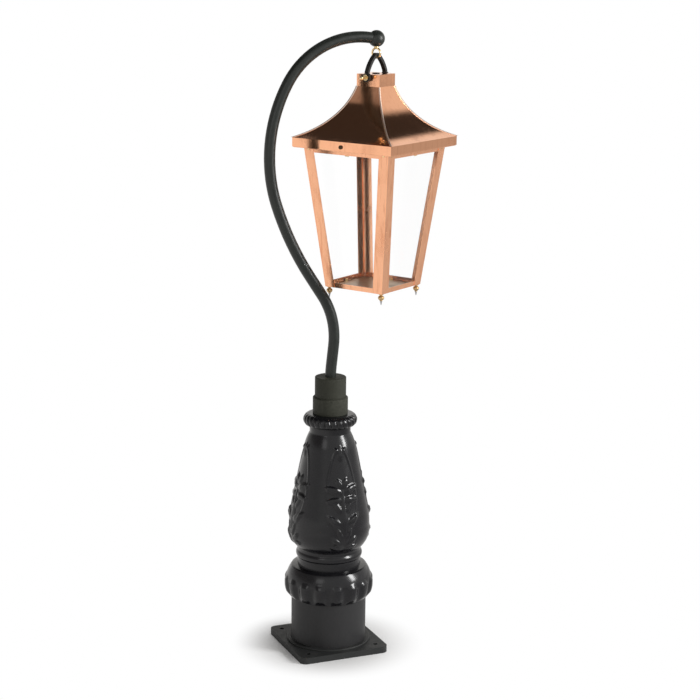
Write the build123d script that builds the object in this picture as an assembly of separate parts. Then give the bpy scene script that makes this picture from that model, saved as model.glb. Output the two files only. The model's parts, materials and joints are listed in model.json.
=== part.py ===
from build123d import *
import os
from math import atan2, cos, degrees, pi, radians, sin, sqrt

# Swan neck lamp post: a cast pedestal on a square ground plate carries a bent
# steel tube, and a copper hanging lantern hangs from the tube's end.
# Millimetres, +Z up. The origin is the centre of the ground plate's underside,
# and +X points along the plate's side and the way the arm reaches.

# Clearances
running_gap = 0.05      # round shaft in its hole, on the radius
slip_gap = 0.1          # round part slid into a socket, on the radius
free_gap = 0.3          # curved or loose faces that must not bind
seal_gap = 1.0          # lid skirt around the cage frame

# Ground plate
plate_side = 290
plate_thick = 20
plate_corner_r = 20
pad_margin = 14
pad_rise = 6
anchor_hole_d = 14
anchor_pcd = 320
cable_bore_d = 90

# Drum between plate and pedestal
drum_d = 233
drum_wall = 9
drum_height = 141
drum_top_thick = 12
post_bolt_d = 12
post_bolt_pcd = 150
post_bolt_count = 4
post_bolt_head = 7.5
post_bolt_tail = 14
post_nut_flats = 19
post_nut_height = 10

# Pedestal casting, outside radii and heights above its own foot
foot_r = 119
torus_r = 134
torus_mid = 36
torus_height = 97
ledge_fall = 3
foot_flare = 4
waist_r = 98.5
waist_height = 126
foot_ring_r = 102
foot_ring_height = 148
foot_ring_step = 10
belly_r = 125
belly_height = 233
belly_half = 50         # heights of the curve below and above the widest point
belly_foot_in = 7.5
belly_top_in = 5.5
shoulder_out = 17
shoulder_drop = 46
neck_r = 63
neck_drop = 59          # below the casting's top
rope_ring_r = 83
rope_half = 20
rope_drop = 19          # middle of the rope ring below the casting's top
rope_lip = 2
casting_height = 585
casting_wall = 10
casting_floor = 12
cavity_slack = 4        # extra wall where the inside is plainer than the outside
belly_band = 20         # half height of the widest part of the inside
gadroon_count = 16
gadroon_r = 25
gadroon_reach = 139.5   # radius to the outermost point of the gadroons
gadroon_height = 30

# Two-step socket that holds the arm
socket_upper_d = 96
socket_upper_height = 62
socket_lower_d = 108
socket_lower_height = 52
socket_edge = 3
spigot_d = 76
spigot_length = 60
socket_floor = 8
screw_d = 8
screw_sets = 3
screw_turn = 60
screw_rear_angle = 67   # direction of the middle screw, behind the arm's bow
screw_bite = 6          # depth of the neck screws in the spigot
screw_sunk = 1          # outer end below the surface
screw_hex_depth = 4
neck_screw_rise = 5

# Swan neck tube, bends in the order they come from the socket
tube_d = 33.7
tube_wall = 3.2
back_lean = 6.3
back_lean_r = 300
lower_run = 63
lower_bend = 39.8
lower_bend_r = 238
middle_run = 74
bow_out = 15
bow_out_r = 935
shoulder = 47.3
shoulder_r = 448
crown = 69.6
crown_r = 257
end_run = 9

# Ball at the arm's end and the eye under it
ball_r = 25
ball_flat = 23
ball_seat = 18.2
ball_back_wall = 8
tube_to_ball = 10.4
eye_shank_d = 8
eye_wire_d = 6
eye_hole_d = 22
eye_collar_d = 14
eye_collar_thick = 3
eye_weld = 1            # ring sunk into its collar
eye_washer_d = 16
eye_washer_thick = 1.5
nut_across_flats = 13
nut_height = 6.5
thread_tail = 1.5       # thread standing out of a nut

# Bow, a pointed flat-bar hoop
lantern_yaw = 32
bow_width = 13
bow_thick = 9
bow_rise = 61
bow_leg_r = 105
bow_foot_d = 26

# Lantern roof
sheet = 1.2
neck_half = 41
neck_rise = 36
roof_rise = 188
eave_half = 179
eave_sag = 25
eave_lip = 1.5
fascia_height = 27
seam_width = 5
seam_proud = 1.4
bow_pin_drop = 9
spacer_thick = 1.2
spacer_d = 18
pin_flange_d = 18
pin_flange_thick = 4
pin_neck_d = 7
pin_knob_d = 12
pin_length = 30
grommet_d = 16
grommet_bore_d = 8
grommet_lip = 3
grommet_flange = 2

# Lamp holder inside the roof
bracket_width = 25
bracket_thick = 2
bracket_rise = 22
bracket_drop = 8
bracket_half = 105
holder_d = 44
holder_length = 46
holder_bore_d = 27
holder_bore_depth = 32
holder_edge = 6
nipple_d = 10
nipple_wall = 1.5
nipple_bite = 8
nipple_tail = 4
holder_nut_flats = 17

# Cage under the roof, halves are from the centre to the outside face
cage_top_half = 152.5
cage_foot_half = 104
cage_height = 425
frame_drop = 2
frame_upstand = 18
frame_downstand = 14
glass_bite = 5
rail_height = 15
rail_lip = 14
post_flange = 34
glass_thick = 3
glass_edge_gap = 0.5
clip_width = 14
clip_height = 8
catch_bite = 7.4         # how far the catch reaches in behind the frame's face
floor_gap = 1
finial_d = 19
finial_length = 34
finial_inset = 9
finial_cap_share = 0.7  # radii of the cap, the groove and the tail, as shares
finial_groove_share = 0.4
finial_tail_share = 0.45
finial_cap = 2
finial_groove = 2
finial_bulb = 13
finial_tip_r = 1.2
post_screw_d = 3
post_screw_head_d = 6
post_screw_head = 1.5
post_screw_tail = 1     # thread past the inner sheet
screw_reach = 6         # half length of the drill for the post screws

# Lid hinge and catch
hinge_width = 60
hinge_knuckles = 3
knuckle_r = 3.5
hinge_pin_r = 1.7
leaf_thick = 1.2
leaf_height = 16
leaf_lift = 3           # roof leaf above the skirt's foot
leaf_set_in = 4         # cage leaf clear of the cage's top edge
knuckle_gap = 0.2       # between neighbouring knuckles
pin_head_thick = 2
pin_head_r = 3
catch_d = 5
catch_head_d = 12
catch_head = 4
catch_slot = 1.6
catch_slot_depth = 1
catch_edge = 2          # frame left above the catch's hole

# Heights that follow from the sizes above
neck_height = casting_height - neck_drop
rope_height = casting_height - rope_drop
drum_foot_z = plate_thick + pad_rise
casting_z = drum_foot_z + drum_height
socket_z = casting_z + casting_height
socket_top_z = socket_z + socket_lower_height + socket_upper_height
spigot_foot_z = socket_z - spigot_length
tube_foot_z = spigot_foot_z + socket_floor


def arm_line():
    """Centre line of the tube in the XZ plane, with its end point and heading."""
    x, z, heading = 0.0, tube_foot_z, pi / 2
    pieces = []

    def run(length):
        nonlocal x, z
        start = (x, 0, z)
        x += length * cos(heading)
        z += length * sin(heading)
        pieces.append(Line(start, (x, 0, z)))

    def bend(radius, turn):
        nonlocal x, z, heading
        side = 1 if turn > 0 else -1
        cx = x - side * radius * sin(heading)
        cz = z + side * radius * cos(heading)
        points = []
        for share in (0, 0.5, 1):
            angle = heading + radians(turn) * share
            points.append((cx + side * radius * sin(angle), 0, cz - side * radius * cos(angle)))
        heading += radians(turn)
        x, z = points[2][0], points[2][2]
        pieces.append(ThreePointArc(*points))

    run(socket_top_z - tube_foot_z)
    bend(back_lean_r, -back_lean)
    run(lower_run)
    bend(lower_bend_r, lower_bend)
    run(middle_run)
    bend(bow_out_r, -bow_out)
    bend(shoulder_r, -shoulder)
    bend(crown_r, -crown)
    run(end_run)
    return Wire(pieces), x, z, heading


arm_wire, arm_end_x, arm_end_z, arm_heading = arm_line()
hang_x = arm_end_x + tube_to_ball * cos(arm_heading)
ball_z = arm_end_z + tube_to_ball * sin(arm_heading)

eye_ring_r = (eye_hole_d + eye_wire_d) / 2
eye_top_z = ball_z - ball_flat - free_gap - eye_collar_thick
eye_z = eye_top_z - eye_ring_r - eye_wire_d / 2 + eye_weld
eye_wire_z = eye_z - eye_ring_r

# The bow's tip rests on the eye where the ring has curved up beside the bar.
ring_drop = sqrt((eye_hole_d / 2) ** 2 - (bow_width / 2) ** 2)
bow_seat_r = eye_ring_r - ring_drop + free_gap
bow_pin_z = eye_wire_z + bow_seat_r - bow_rise
roof_top_z = bow_pin_z + bow_pin_drop
eave_z = roof_top_z - roof_rise
fascia_half = eave_half - eave_lip
fascia_foot_z = eave_z - fascia_height
roof_neck_z = roof_top_z - neck_rise
foot_mid = neck_half + spacer_thick + free_gap + bow_thick / 2
pin_tip_x = foot_mid + bow_thick / 2 + free_gap + pin_length

cage_top_z = fascia_foot_z - frame_drop
cage_foot_z = cage_top_z - cage_height
cage_slope = (cage_top_half - cage_foot_half) / cage_height
cage_lean = degrees(atan2(cage_top_half - cage_foot_half, cage_height))
glass_top_z = cage_top_z - frame_downstand + glass_bite
hinge_x = fascia_half + knuckle_r + free_gap
hinge_z = cage_top_z - leaf_thick / 2
frame_half = fascia_half - sheet - seal_gap
catch_z = cage_top_z + frame_upstand - catch_edge - catch_d / 2 - free_gap

lantern_place = Location((hang_x, 0, 0), (0, 0, lantern_yaw))


def tube_piece(outer_r, inner_r, low, high):
    """Round tube or, with no inner radius, a round bar, upright on the Z axis."""
    with BuildPart() as piece:
        with Locations((0, 0, low)):
            Cylinder(outer_r, high - low, align=(Align.CENTER, Align.CENTER, Align.MIN))
            if inner_r:
                Cylinder(
                    inner_r,
                    high - low,
                    align=(Align.CENTER, Align.CENTER, Align.MIN),
                    mode=Mode.SUBTRACT,
                )
    return piece.part


def square_block(half, low, high):
    return Pos(0, 0, low) * Box(
        2 * half, 2 * half, high - low, align=(Align.CENTER, Align.CENTER, Align.MIN)
    )


def ring_places(count, radius, first=0):
    places = []
    for step in range(count):
        angle = first + step * 360 / count
        places.append(Pos(radius * cos(radians(angle)), radius * sin(radians(angle)), 0))
    return places


def hexagon(across_flats, low, high):
    face = Pos(0, 0, low) * RegularPolygon(across_flats / sqrt(3), 6)
    return extrude(face, high - low)


def anchor_places():
    return ring_places(4, anchor_pcd / 2, 45)


def make_base_plate():
    blank = extrude(RectangleRounded(plate_side, plate_side, plate_corner_r), plate_thick)
    pad_r = drum_d / 2 + pad_margin
    plate = blank + tube_piece(pad_r, 0, plate_thick, drum_foot_z)
    edges = plate.edges().filter_by(GeomType.CIRCLE).group_by(Axis.Z)[-1]
    plate = fillet(edges, pad_rise / 2)
    plate -= tube_piece(cable_bore_d / 2, 0, 0, drum_foot_z)
    for place in anchor_places():
        plate -= place * tube_piece(anchor_hole_d / 2, 0, 0, plate_thick)
    return plate


def post_bolt_places():
    return ring_places(post_bolt_count, post_bolt_pcd / 2, 45)


def make_base_drum():
    drum = tube_piece(drum_d / 2, drum_d / 2 - drum_wall, drum_foot_z, casting_z)
    drum += tube_piece(
        drum_d / 2 - drum_wall, cable_bore_d / 2, casting_z - drum_top_thick, casting_z
    )
    for place in post_bolt_places():
        drum -= place * tube_piece(post_bolt_d / 2 + slip_gap, 0, drum_foot_z, casting_z)
    return drum


def belly_lines(low):
    """The vase: a full lower curve, a long taper and a rounded shoulder."""
    foot = (waist_r, low + foot_ring_height + foot_ring_step)
    widest = (belly_r, low + belly_height)
    taper_foot = (belly_r - belly_top_in, low + belly_height + belly_half)
    taper_top = (neck_r + shoulder_out, low + neck_height - shoulder_drop)
    neck = (neck_r, low + neck_height)
    slope = Vector(*taper_top) - Vector(*taper_foot)
    return [
        ThreePointArc(foot, (belly_r - belly_foot_in, low + belly_height - belly_half), widest),
        TangentArc(widest, taper_foot, tangent=(0, 1)),
        Line(taper_foot, taper_top),
        TangentArc(taper_top, neck, tangent=slope),
    ]


def casting_outline():
    """Outside of the pedestal from its foot to its top, as radius and height."""
    low = casting_z
    ledge_r = (torus_r + waist_r) / 2
    return [
        Line((foot_r, low), (foot_r + foot_flare, low)),
        ThreePointArc(
            (foot_r + foot_flare, low), (torus_r, low + torus_mid), (ledge_r, low + torus_height)
        ),
        Line((ledge_r, low + torus_height), (waist_r, low + torus_height + ledge_fall)),
        Line((waist_r, low + torus_height + ledge_fall), (waist_r, low + waist_height)),
        ThreePointArc(
            (waist_r, low + waist_height),
            (foot_ring_r, low + (waist_height + foot_ring_height) / 2),
            (waist_r, low + foot_ring_height),
        ),
        Line((waist_r, low + foot_ring_height), (waist_r, low + foot_ring_height + foot_ring_step)),
        *belly_lines(low),
        Line((neck_r, low + neck_height), (neck_r, low + rope_height - rope_half)),
        ThreePointArc(
            (neck_r, low + rope_height - rope_half),
            (rope_ring_r, low + rope_height),
            (neck_r, low + rope_height + rope_half - rope_lip),
        ),
        Line((neck_r, low + rope_height + rope_half - rope_lip), (neck_r, low + casting_height)),
    ]


def make_post_casting():
    low = casting_z
    top = low + casting_height
    outline = casting_outline()
    edge = Wire(outline)
    close = Polyline((neck_r, top), (0, top), (0, low), (foot_r, low))
    half = Plane.XZ * make_face([*edge.edges(), *close.edges()])
    body = revolve(half, Axis.Z)
    for place in ring_places(gadroon_count, gadroon_reach - gadroon_r, 180 / gadroon_count):
        body += place * Pos(0, 0, low + gadroon_height) * Sphere(gadroon_r)
    body -= square_block(2 * torus_r, low - 2 * gadroon_r, low)

    floor = low + casting_floor
    wall = casting_wall
    bore = spigot_d / 2 + slip_gap
    belly_z = low + belly_height
    inside = Polyline(
        (0, floor),
        (waist_r - wall, floor),
        (waist_r - wall, low + foot_ring_height),
        (belly_r - wall - cavity_slack, belly_z - belly_band),
        (belly_r - wall - cavity_slack, belly_z + belly_band),
        (bore, spigot_foot_z - belly_band),
        (bore, top),
        (0, top),
        close=True,
    )
    body -= revolve(Plane.XZ * make_face(inside), Axis.Z)
    body -= tube_piece(cable_bore_d / 2, 0, low, floor)
    for place in post_bolt_places():
        body -= place * tube_piece(post_bolt_d / 2 + slip_gap, 0, low, floor)
    for screw in screw_places(neck_screw_z):
        body -= screw * radial_bar(screw_d / 2 + running_gap, 0, 2 * rope_ring_r)
    return body


neck_screw_z = casting_z + neck_height + neck_screw_rise
arm_screw_z = socket_z + socket_lower_height / 2


def screw_places(height):
    """Places of the grub screws, whose axes point outwards at the rear."""
    places = []
    for step in range(screw_sets):
        angle = screw_rear_angle + (step - 1) * screw_turn
        places.append(Pos(0, 0, height) * Rot(0, 0, angle))
    return places


def radial_bar(radius, start, end):
    """Round bar along +X from start to end."""
    bar = Cylinder(radius, end - start, align=(Align.CENTER, Align.CENTER, Align.MIN))
    return Pos(start, 0, 0) * Rot(0, 90, 0) * bar


def make_post_bolts():
    low = casting_z - drum_top_thick
    top = casting_z + casting_floor
    bolts = []
    for place in post_bolt_places():
        bolt = tube_piece(post_bolt_d / 2, 0, low, top + post_bolt_tail)
        bolt += hexagon(post_nut_flats, low - post_bolt_head, low)
        bolts.append(place * bolt)
    return Compound(bolts)


def make_post_nuts():
    low = casting_z + casting_floor
    top = low + post_nut_height
    nuts = []
    for place in post_bolt_places():
        nut = hexagon(post_nut_flats, low, top)
        nut -= tube_piece(post_bolt_d / 2 + running_gap, 0, low, top)
        nuts.append(place * nut)
    return Compound(nuts)


def make_arm_socket():
    step_z = socket_z + socket_lower_height
    lower = tube_piece(socket_lower_d / 2, 0, socket_z, step_z)
    lower = chamfer(lower.edges().group_by(Axis.Z)[-1], socket_edge)
    upper = tube_piece(socket_upper_d / 2, 0, step_z, socket_top_z)
    upper = fillet(upper.edges().group_by(Axis.Z)[-1], socket_edge)
    body = lower + upper + tube_piece(spigot_d / 2, 0, spigot_foot_z, socket_z)
    body -= tube_piece(tube_d / 2 + slip_gap, 0, tube_foot_z, socket_top_z)
    body -= tube_piece(tube_d / 2 - tube_wall, 0, spigot_foot_z, tube_foot_z)
    for screw in screw_places(arm_screw_z):
        body -= screw * radial_bar(screw_d / 2 + running_gap, 0, socket_lower_d)
    for screw in screw_places(neck_screw_z):
        body -= screw * radial_bar(screw_d / 2 + running_gap, spigot_d / 2 - screw_bite, spigot_d)
    return body


def make_screws(height, start, end):
    screws = []
    for place in screw_places(height):
        screw = radial_bar(screw_d / 2, start, end)
        socket = extrude(RegularPolygon(screw_d / 4, 6), screw_hex_depth)
        screw -= Pos(end - screw_hex_depth, 0, 0) * Rot(0, 90, 0) * socket
        screws.append(place * screw)
    return Compound(screws)


def make_arm_screws():
    return make_screws(arm_screw_z, tube_d / 2 + free_gap, socket_lower_d / 2 - screw_sunk)


def make_neck_screws():
    return make_screws(neck_screw_z, spigot_d / 2 - screw_bite + free_gap, neck_r - screw_sunk)


def make_swan_neck():
    ring = Circle(tube_d / 2) - Circle(tube_d / 2 - tube_wall)
    section = Plane(origin=(0, 0, tube_foot_z), z_dir=(0, 0, 1)) * ring
    return sweep(section, path=arm_wire)


def make_arm_end_ball():
    tilt = Rot(0, -degrees(arm_heading), 0)
    bore_r = tube_d / 2 + slip_gap
    ball = Sphere(ball_r)
    ball -= Pos(0, 0, -ball_flat - ball_r) * Box(4 * ball_r, 4 * ball_r, 2 * ball_r)
    ball -= tilt * radial_bar(bore_r, -2 * ball_r, ball_r - ball_back_wall)
    ball -= tube_piece(eye_washer_d / 2 + free_gap, 0, -ball_seat, 0)
    ball -= tube_piece(eye_shank_d / 2 + running_gap, 0, -ball_r, 0)
    return Pos(hang_x, 0, ball_z) * ball


def make_eye_bolt():
    ring = Pos(0, 0, eye_z) * Rot(0, 90, 0) * Torus(eye_ring_r, eye_wire_d / 2)
    collar = tube_piece(eye_collar_d / 2, 0, eye_top_z, eye_top_z + eye_collar_thick)
    end_z = ball_z - ball_seat + eye_washer_thick + nut_height + thread_tail
    shank = tube_piece(eye_shank_d / 2, 0, eye_top_z, end_z)
    return lantern_place * (ring + collar + shank)


def make_eye_washer():
    low = ball_z - ball_seat + slip_gap
    ring = tube_piece(
        eye_washer_d / 2, eye_shank_d / 2 + running_gap, low, low + eye_washer_thick
    )
    return lantern_place * ring


def make_eye_nut():
    low = ball_z - ball_seat + slip_gap + eye_washer_thick
    nut = hexagon(nut_across_flats, low, low + nut_height)
    nut -= tube_piece(eye_shank_d / 2 + running_gap, 0, low, low + nut_height)
    return lantern_place * nut


def arc_about(centre, radius, first, last):
    """Arc around a centre between two angles in degrees."""
    points = []
    for share in (0, 0.5, 1):
        angle = radians(first + (last - first) * share)
        points.append((centre[0] + radius * cos(angle), centre[1] + radius * sin(angle)))
    return ThreePointArc(*points)


def make_bow():
    """Flat bar bent to a pointed hoop, in the lantern's XZ plane."""
    tip_r = bow_seat_r + bow_thick / 2
    leg_foot_z = bow_pin_z + bow_foot_d / 2
    down = eye_wire_z - leg_foot_z
    reach = sqrt(foot_mid**2 + down**2)
    along = ((bow_leg_r - tip_r) ** 2 - bow_leg_r**2 + reach**2) / (2 * reach)
    across = sqrt((bow_leg_r - tip_r) ** 2 - along**2)
    centre = (
        along * foot_mid / reach - across * down / reach,
        eye_wire_z - along * down / reach - across * foot_mid / reach,
    )
    foot_angle = degrees(atan2(leg_foot_z - centre[1], foot_mid - centre[0]))
    tip_angle = degrees(atan2(eye_wire_z - centre[1], -centre[0]))

    band = []
    for offset in (bow_thick / 2, -bow_thick / 2):
        leg = arc_about(centre, bow_leg_r + offset, foot_angle, tip_angle)
        top = arc_about((0, eye_wire_z), tip_r + offset, tip_angle, 180 - tip_angle)
        band.extend([leg, top, mirror(leg, Plane.YZ)])
    for side in (0, 2):
        band.append(Line(band[side] @ 0, band[side + 3] @ 0))
    bow = extrude(Plane.XZ * make_face(band), bow_width / 2, both=True)

    for side in (1, -1):
        web = Box(bow_thick, bow_width, bow_foot_d / 2, align=(Align.CENTER, Align.CENTER, Align.MIN))
        bow += Pos(side * foot_mid, 0, bow_pin_z) * web
        disc = radial_bar(bow_foot_d / 2, -bow_thick / 2, bow_thick / 2)
        bow += Pos(side * foot_mid, 0, bow_pin_z) * disc
    pin_r = eye_shank_d / 2 + running_gap
    bow -= Pos(0, 0, bow_pin_z) * radial_bar(pin_r, -2 * foot_mid, 2 * foot_mid)
    return lantern_place * bow


def both_sides(piece):
    """A piece on the lantern's +X side and its twin on the other side."""
    twin = Rot(0, 0, 180) * piece
    return lantern_place * Compound([piece, twin])


def make_bow_pins():
    flange_x = foot_mid + bow_thick / 2 + free_gap
    knob_r = pin_knob_d / 2
    start = neck_half - sheet - nut_height - thread_tail
    pin = radial_bar(eye_shank_d / 2, start, flange_x)
    pin += radial_bar(pin_flange_d / 2, flange_x, flange_x + pin_flange_thick)
    pin += radial_bar(pin_neck_d / 2, flange_x, pin_tip_x - knob_r)
    pin += Pos(pin_tip_x - knob_r, 0, 0) * Sphere(knob_r)
    return both_sides(Pos(0, 0, bow_pin_z) * pin)


def make_bow_nuts():
    nut = hexagon(nut_across_flats, 0, nut_height)
    nut -= tube_piece(eye_shank_d / 2 + running_gap, 0, 0, nut_height)
    place = Pos(neck_half - sheet - nut_height, 0, bow_pin_z) * Rot(0, 90, 0)
    return both_sides(place * nut)


def make_bow_spacers():
    ring = tube_piece(spacer_d / 2, eye_shank_d / 2 + running_gap, 0, spacer_thick)
    place = Pos(neck_half, 0, bow_pin_z) * Rot(0, 90, 0)
    return both_sides(place * ring)


def roof_block(grow, low, high):
    """Solid concave hip roof; a negative grow gives the space inside the sheet."""
    foot = (eave_half + grow, eave_z + grow)
    top = (neck_half + grow, roof_neck_z + grow)
    lines = [
        SagittaArc(foot, top, eave_sag),
        Line(top, (0, top[1])),
        Line((0, top[1]), (0, foot[1])),
        Line((0, foot[1]), foot),
    ]
    half = make_face(lines)
    whole = Plane.XZ * (half + mirror(half, Plane.YZ))
    ridge = extrude(whole, 2 * eave_half, both=True)
    block = ridge & (Rot(0, 0, 90) * ridge)
    return block & square_block(2 * eave_half, low, high)


def make_roof_skin():
    skin = roof_block(0, eave_z, roof_neck_z)
    inside = roof_block(-sheet, eave_z - 2 * sheet, roof_neck_z)
    skin -= inside
    skin -= square_block(neck_half - sheet, roof_neck_z - 2 * sheet, roof_neck_z)
    return lantern_place * skin


def make_hip_seams():
    proud = roof_block(seam_proud, eave_z, roof_neck_z)
    bar = Pos(0, 0, eave_z) * Box(
        4 * eave_half, seam_width, roof_rise, align=(Align.CENTER, Align.CENTER, Align.MIN)
    )
    cross = (Rot(0, 0, 45) * bar) + (Rot(0, 0, -45) * bar)
    seams = (proud & cross) - roof_block(0, eave_z, roof_neck_z)
    return lantern_place * seams


def make_roof_neck():
    neck = square_block(neck_half, roof_neck_z, roof_top_z)
    neck -= square_block(neck_half - sheet, roof_neck_z, roof_top_z - sheet)
    neck -= tube_piece(grommet_d / 2, 0, roof_top_z - sheet, roof_top_z)
    hole_r = eye_shank_d / 2 + running_gap
    neck -= Pos(0, 0, bow_pin_z) * radial_bar(hole_r, -2 * neck_half, 2 * neck_half)
    return lantern_place * neck


def make_cable_grommet():
    low = roof_top_z - sheet
    body = tube_piece(grommet_d / 2, grommet_bore_d / 2, low - grommet_flange, roof_top_z + grommet_flange)
    flange_r = grommet_d / 2 + grommet_lip
    body += tube_piece(flange_r, grommet_d / 2, roof_top_z, roof_top_z + grommet_flange)
    body += tube_piece(flange_r, grommet_d / 2, low - grommet_flange, low)
    return lantern_place * body


def make_fascia():
    band = square_block(fascia_half, fascia_foot_z, eave_z)
    band -= square_block(fascia_half - sheet, fascia_foot_z, eave_z)
    hole = radial_bar(catch_d / 2 + running_gap, -2 * fascia_half, 0)
    band -= Pos(0, 0, catch_z) * hole
    return lantern_place * band


def make_lamp_bracket():
    """Strap across the roof, from one side of the skirt to the other."""
    end = fascia_half - sheet
    points = [
        (-end, eave_z - bracket_drop),
        (-bracket_half, eave_z + bracket_rise),
        (bracket_half, eave_z + bracket_rise),
        (end, eave_z - bracket_drop),
    ]
    upper = [(x, z + bracket_thick) for x, z in points]
    outline = Polyline(*points, *reversed(upper), close=True)
    strap = extrude(Plane.XZ * make_face(outline), bracket_width / 2, both=True)
    strap -= tube_piece(nipple_d / 2 + running_gap, 0, eave_z, eave_z + 2 * bracket_rise)
    return lantern_place * Rot(0, 0, 90) * strap


holder_top_z = eave_z + bracket_rise
nipple_nut_top_z = holder_top_z + bracket_thick + nut_height


def make_lampholder():
    low = holder_top_z - holder_length
    body = tube_piece(holder_d / 2, 0, low, holder_top_z)
    body = fillet(body.edges().group_by(Axis.Z)[-1], holder_edge)
    body -= tube_piece(holder_bore_d / 2, 0, low, low + holder_bore_depth)
    body -= tube_piece(nipple_d / 2 + running_gap, 0, holder_top_z - nipple_bite, holder_top_z)
    return lantern_place * body


def make_holder_nipple():
    low = holder_top_z - nipple_bite
    high = nipple_nut_top_z + nipple_tail
    return lantern_place * tube_piece(nipple_d / 2, nipple_d / 2 - nipple_wall, low, high)


def make_holder_nut():
    low = holder_top_z + bracket_thick
    nut = hexagon(holder_nut_flats, low, nipple_nut_top_z)
    nut -= tube_piece(nipple_d / 2 + running_gap, 0, low, nipple_nut_top_z)
    return lantern_place * nut


def knuckle_spans():
    """Stretches of the hinge line, first and last for the cage, middle for the roof."""
    length = hinge_width / hinge_knuckles
    spans = []
    for step in range(hinge_knuckles):
        low = -hinge_width / 2 + step * length
        spans.append((low + knuckle_gap / 2, low + length - knuckle_gap / 2))
    return spans


def hinge_bar(radius, low, high):
    bar = Cylinder(radius, high - low, align=(Align.CENTER, Align.CENTER, Align.MIN))
    return Pos(hinge_x, low, hinge_z) * Rot(-90, 0, 0) * bar


def make_roof_hinge_leaf():
    low, high = knuckle_spans()[1]
    plate = Pos(fascia_half, 0, fascia_foot_z + leaf_lift) * Box(
        leaf_thick, hinge_width, leaf_height, align=(Align.MIN, Align.CENTER, Align.MIN)
    )
    tongue_height = fascia_foot_z + leaf_lift - hinge_z
    tongue = Pos(fascia_half, (low + high) / 2, hinge_z) * Box(
        leaf_thick, high - low, tongue_height, align=(Align.MIN, Align.CENTER, Align.MIN)
    )
    leaf = plate + tongue + hinge_bar(knuckle_r, low, high)
    leaf -= hinge_bar(hinge_pin_r + running_gap, low, high)
    return lantern_place * leaf


def make_cage_hinge_leaf():
    inner_x = cage_top_half + leaf_set_in
    outer_x = fascia_half - sheet
    leaf = Pos(inner_x, 0, cage_top_z) * Box(
        outer_x - inner_x, hinge_width, leaf_thick, align=(Align.MIN, Align.CENTER, Align.MAX)
    )
    for low, high in knuckle_spans()[::2]:
        leaf += Pos(outer_x, (low + high) / 2, cage_top_z) * Box(
            hinge_x - outer_x, high - low, leaf_thick, align=(Align.MIN, Align.CENTER, Align.MAX)
        )
        leaf += hinge_bar(knuckle_r, low, high)
    leaf -= hinge_bar(hinge_pin_r + running_gap, -hinge_width, hinge_width)
    return lantern_place * leaf


def make_hinge_pin():
    half = hinge_width / 2
    pin = hinge_bar(hinge_pin_r, -half, half)
    pin += hinge_bar(pin_head_r, half, half + pin_head_thick)
    pin += hinge_bar(pin_head_r, -half - pin_head_thick, -half)
    return lantern_place * pin


def make_catch_screw():
    tip_x = frame_half - catch_bite
    screw = radial_bar(catch_d / 2, tip_x, fascia_half)
    head = radial_bar(catch_head_d / 2, fascia_half, fascia_half + catch_head)
    head = fillet(head.edges().group_by(Axis.X)[-1], catch_head / 3)
    slot = Pos(fascia_half + catch_head, 0, 0) * Box(
        2 * catch_slot_depth, catch_slot, catch_head_d
    )
    return lantern_place * Rot(0, 0, 180) * Pos(0, 0, catch_z) * (screw + head - slot)


def cage_half(height):
    """Half width of the cage's outside at a height."""
    return cage_foot_half + (height - cage_foot_z) * cage_slope


def cage_block(inset, low, high):
    """Solid of the tapered cage, its sides set in by a wall."""
    faces = []
    for height in (low, high):
        side = 2 * (cage_half(height) - inset)
        faces.append(Pos(0, 0, height) * Rectangle(side, side))
    return loft(faces, ruled=True)


def cage_band(inset, wall, low, high):
    return cage_block(inset, low, high) - cage_block(inset + wall, low, high)


def side_wedge(inset, low, high, half_width=None):
    """Block that keeps only the +X side of a band, short of the corners."""
    faces = []
    for height in (low, high):
        half = half_width or cage_half(height) - inset
        faces.append(
            Pos(0, 0, height)
            * Rectangle(2 * eave_half, 2 * half, align=(Align.MIN, Align.CENTER))
        )
    return loft(faces, ruled=True)


def make_top_frame():
    top = cage_top_z + sheet
    inner_half = cage_top_half - 2 * sheet
    frame = square_block(frame_half, cage_top_z, top)
    frame += square_block(frame_half, top, cage_top_z + frame_upstand)
    frame -= square_block(frame_half - sheet, top, cage_top_z + frame_upstand)
    frame -= square_block(inner_half, cage_top_z, top)
    frame += cage_band(sheet, sheet, cage_top_z - frame_downstand, cage_top_z)
    for screw in screw_sites():
        frame -= screw * tube_piece(post_screw_d / 2 + running_gap, 0, -screw_reach, screw_reach)
    frame -= Pos(0, 0, catch_z) * radial_bar(catch_d / 2 + free_gap, -2 * frame_half, 0)
    return lantern_place * frame


def make_bottom_frame():
    lip_top = cage_foot_z + sheet
    frame = cage_band(sheet, sheet, cage_foot_z, cage_foot_z + rail_height)
    frame += cage_band(sheet + sheet, rail_lip, cage_foot_z, lip_top)
    return lantern_place * frame


def make_corner_post(turn):
    low, high = cage_foot_z, cage_top_z
    faces = []
    for height in (low, high):
        corner = cage_half(height) - post_flange
        faces.append(
            Pos(corner, corner, height)
            * Rectangle(2 * post_flange, 2 * post_flange, align=(Align.MIN, Align.MIN))
        )
    post = cage_band(0, sheet, low, high) & loft(faces, ruled=True)
    for screw in screw_sites():
        post -= screw * tube_piece(post_screw_d / 2 + running_gap, 0, -screw_reach, screw_reach)
    return lantern_place * Rot(0, 0, 90 * turn) * post


def make_pane(turn):
    low, high = cage_foot_z + sheet, glass_top_z
    inset = 2 * sheet
    pane = cage_band(inset, glass_thick, low, high)
    pane &= side_wedge(inset + glass_thick + glass_edge_gap, low, high)
    return lantern_place * Rot(0, 0, 90 * turn) * pane


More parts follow.
